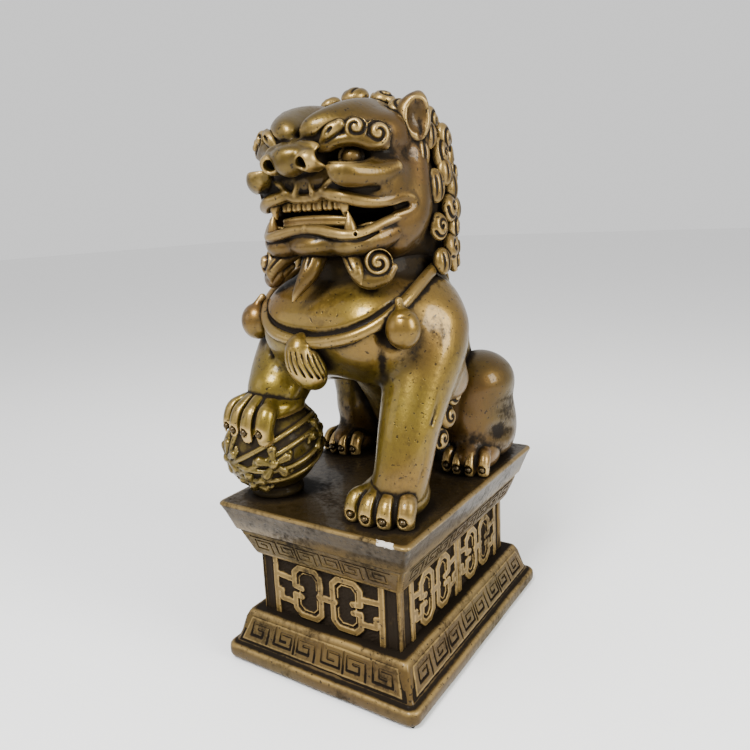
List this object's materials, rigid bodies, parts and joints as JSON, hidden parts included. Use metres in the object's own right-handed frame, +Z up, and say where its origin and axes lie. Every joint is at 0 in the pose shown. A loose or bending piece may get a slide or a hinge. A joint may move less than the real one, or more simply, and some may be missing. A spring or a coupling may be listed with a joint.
{
  "type": "foo dog statue",
  "caption": "Seated guardian lion with its right front paw on an embroidered ball, on a stepped pedestal with key-fret friezes and openwork panels.",
  "frame": {"origin": "bottom centre of the felt under the foot", "axes": "+Z up, -Y the way the lion looks, +X towards the lion's own left"},
  "size_m": [0.0843, 0.1062, 0.2005],
  "materials": {
    "lion_finish": "antique gold over dark brown patina, semi-gloss",
    "mane_finish": "antique gold over dark brown patina, satin",
    "ball_finish": "antique gold, heavily toned dark in the relief",
    "detail_finish": "dark antique gold, satin",
    "pedestal_finish": "dull olive antique gold, satin",
    "waist_finish": "antique gold relief over a dark brown ground, satin",
    "slab_finish": "dark olive brown toned gold, glossy, rubbed bright at the rim",
    "felt": "black craft felt"
  },
  "bodies": {
    "root": {"ball": "ball_finish", "base_felt": "felt", "body_trunk": "lion_finish", "chest_bell": "lion_finish", "chin_tufts": "lion_finish", "claws": "detail_finish", "collar": "lion_finish", "corner_post_front_left": "waist_finish", "corner_post_front_right": "waist_finish", "corner_post_rear_left": "waist_finish", "corner_post_rear_right": "waist_finish", "crown_curls": "mane_finish", "foot_key_panel_back": "pedestal_finish", "foot_key_panel_front": "pedestal_finish", "foot_key_panel_left": "pedestal_finish", "foot_key_panel_right": "pedestal_finish", "fret_panel_back": "waist_finish", "fret_panel_front": "waist_finish", "fret_panel_left_front": "waist_finish", "fret_panel_left_rear": "waist_finish", "fret_panel_right_front": "waist_finish", "fret_panel_right_rear": "waist_finish", "goatee": "lion_finish", "head": "lion_finish", "left_bell": "lion_finish", "left_brow": "lion_finish", "left_ear": "lion_finish", "left_elbow_curls": "mane_finish", "left_eye": "detail_finish", "left_foreleg": "lion_finish", "left_front_paw": "lion_finish", "left_hind_leg": "lion_finish", "left_hind_paw": "lion_finish", "left_jaw_curl": "lion_finish", "left_mane_curls": "mane_finish", "lower_jaw": "lion_finish", "lower_teeth": "detail_finish", "nape_curls": "mane_finish", "pedestal_foot": "pedestal_finish", "pedestal_top_slab": "slab_finish", "pedestal_waist": "waist_finish", "right_bell": "lion_finish", "right_brow": "lion_finish", "right_ear": "lion_finish", "right_elbow_curls": "mane_finish", "right_eye": "detail_finish", "right_foreleg": "lion_finish", "right_front_paw": "lion_finish", "right_hind_leg": "lion_finish", "right_hind_paw": "lion_finish", "right_jaw_curl": "lion_finish", "right_mane_curls": "mane_finish", "slab_key_band": "pedestal_finish", "spine_ridge": "mane_finish", "tail": "mane_finish", "upper_teeth": "detail_finish"}
  },
  "joints": []
}
